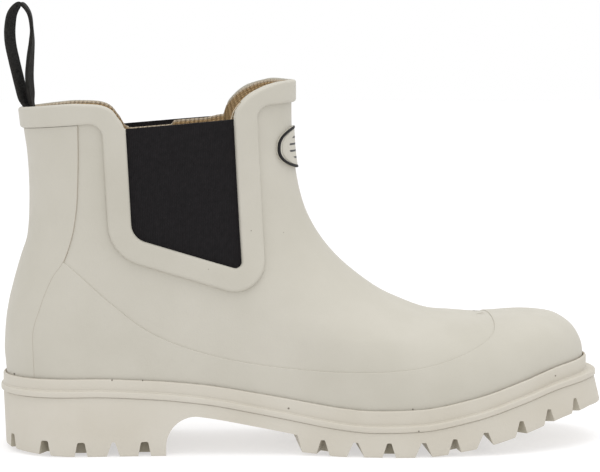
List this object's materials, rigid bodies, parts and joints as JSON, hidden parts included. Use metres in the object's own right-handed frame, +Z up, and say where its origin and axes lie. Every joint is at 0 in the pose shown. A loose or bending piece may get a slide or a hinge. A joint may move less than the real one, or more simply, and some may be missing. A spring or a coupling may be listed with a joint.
{
  "type": "rubber boot",
  "caption": "Ankle-high rubber boot with elastic side panels in a raised collar band, a heel pull loop, and a lug sole with arch and separate heel block.",
  "frame": {"origin": "on the floor under the middle of the boot's bounding box", "axes": "+X from heel to toe, +Y to the inner side of the foot, +Z up"},
  "size_m": [0.29, 0.105, 0.2107],
  "materials": {
    "upper_rubber": "matt off-white rubber",
    "sole_rubber": "matt off-white rubber",
    "foot_bed": "tan woven cloth",
    "elastic": "black ribbed elastic",
    "webbing": "black woven tape",
    "badge_ink": "black rim",
    "badge_face": "pale plain field"
  },
  "bodies": {
    "root": {"outsole": "sole_rubber", "midsole": "sole_rubber", "insole": "foot_bed", "upper": "upper_rubber", "collar_band": "upper_rubber", "gore_outer": "elastic", "gore_inner": "elastic", "pull_loop": "webbing", "badge_rim": "badge_ink", "badge_plate": "badge_face"}
  },
  "joints": []
}
